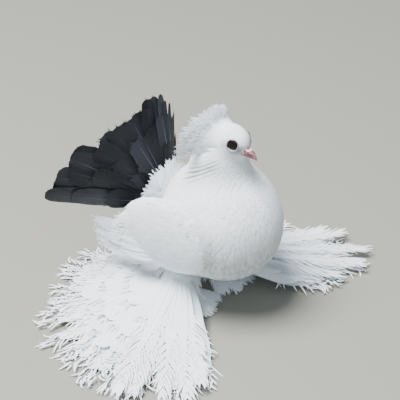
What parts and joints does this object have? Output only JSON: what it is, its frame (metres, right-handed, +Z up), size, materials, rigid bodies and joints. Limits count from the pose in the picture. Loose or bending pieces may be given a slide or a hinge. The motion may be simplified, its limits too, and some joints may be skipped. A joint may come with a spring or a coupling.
{
  "type": "fantail pigeon",
  "caption": "Life-size still model of a standing fantail pigeon: white body, shell crest, raised dark fan tail and large feathered feet.",
  "frame": {"origin": "centre of the bounding box at floor level, under the bird's body", "axes": "+Z up; the bird faces -Y and its right side is at -X"},
  "size_m": [0.3409, 0.2271, 0.2022],
  "materials": {
    "white_coat": "soft white plumage",
    "white_feather": "white feather vanes",
    "dark_feather": "charcoal feather vanes with a slight sheen",
    "bill": "pink horn, satin",
    "eye": "wet dark eye",
    "foot": "scaled red toes under white feathers"
  },
  "bodies": {
    "root": {"torso": "white_coat", "neck": "white_coat", "head": "white_coat", "eye_right": "eye", "eye_left": "eye", "bill_upper": "bill", "bill_lower": "bill", "crest": "white_feather", "tail": "dark_feather", "tail_coverts": "white_feather", "vent_feathers": "white_feather", "wing_right": "white_feather", "wing_left": "white_feather", "leg_right": "white_feather", "leg_left": "white_feather", "foot_right": "foot", "foot_left": "foot"}
  },
  "joints": []
}
